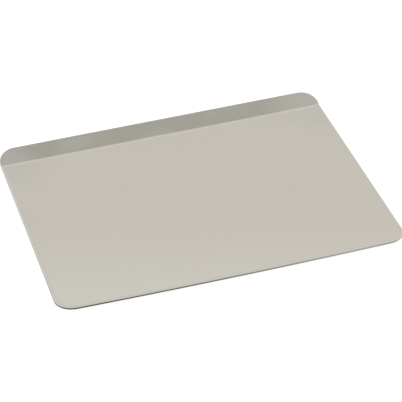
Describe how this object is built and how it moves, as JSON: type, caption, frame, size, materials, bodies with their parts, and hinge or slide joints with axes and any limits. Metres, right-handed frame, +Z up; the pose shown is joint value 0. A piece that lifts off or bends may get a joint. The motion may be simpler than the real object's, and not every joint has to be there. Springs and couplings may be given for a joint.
{
  "type": "cookie sheet",
  "caption": "Flat, rimless, double-walled aluminium baking sheet with rounded corners, a rolled edge all round and one long edge bent up as a lip to hold.",
  "frame": {"origin": "centre of the footprint, on the plane that the tray's base rests on", "axes": "+X along the long side, +Y towards the lip at the back, +Z up from the baking surface"},
  "size_m": [0.4064, 0.3556, 0.0135],
  "materials": {
    "top_sheet": "bare satin aluminium",
    "bottom_sheet": "bare satin aluminium"
  },
  "bodies": {
    "root": {"top_sheet": "top_sheet", "bottom_sheet": "bottom_sheet"}
  },
  "joints": []
}
